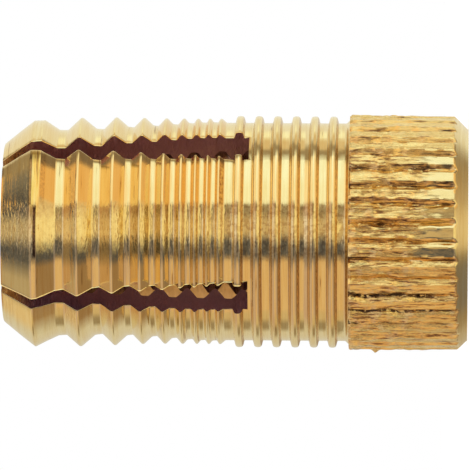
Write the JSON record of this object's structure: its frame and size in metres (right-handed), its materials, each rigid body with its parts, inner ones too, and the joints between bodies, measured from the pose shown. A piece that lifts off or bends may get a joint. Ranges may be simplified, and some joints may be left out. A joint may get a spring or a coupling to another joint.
{
  "type": "expansion anchor",
  "caption": "Turned brass sleeve anchor with a knurled collar, ribbed shank and slit, crimped legs that a screw in its threaded bore spreads against a drilled hole.",
  "frame": {"origin": "centre of the mouth face, on the axis; the anchor stands on that face", "axes": "+Z along the axis, from the mouth towards the slit tip; X and Y lie in the middle planes of the two saw cuts"},
  "size_m": [0.0126, 0.0126, 0.025],
  "materials": {
    "brass": "bright turned brass, rougher in the saw cuts and knurl"
  },
  "bodies": {
    "root": {"anchor_sleeve": "brass"}
  },
  "joints": []
}
